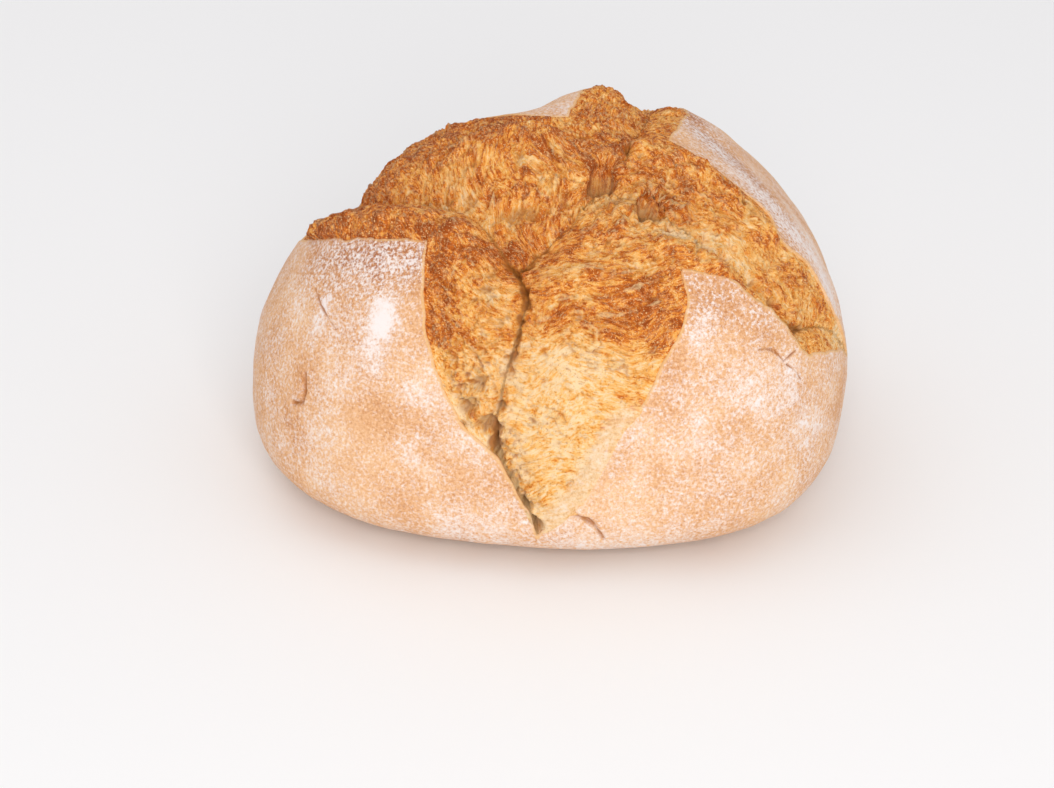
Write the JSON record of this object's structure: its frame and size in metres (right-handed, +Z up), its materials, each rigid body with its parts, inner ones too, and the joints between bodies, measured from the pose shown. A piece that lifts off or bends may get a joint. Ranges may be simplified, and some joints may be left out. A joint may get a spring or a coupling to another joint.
{
  "type": "crusty country bread loaf",
  "caption": "Round rustic bread loaf with a floured crust, scored with a cross and burst open into torn golden crumb between petals of crust.",
  "frame": {"origin": "centre of the loaf's box, on the surface it stands on", "axes": "+Z up, +X to the right along the loaf's longest side, -Y towards the front where the widest crack runs down"},
  "size_m": [0.2217, 0.202, 0.1399],
  "materials": {
    "crust": "dry, matt baked crust dusted with flour"
  },
  "bodies": {
    "root": {"bread": "crust"}
  },
  "joints": []
}
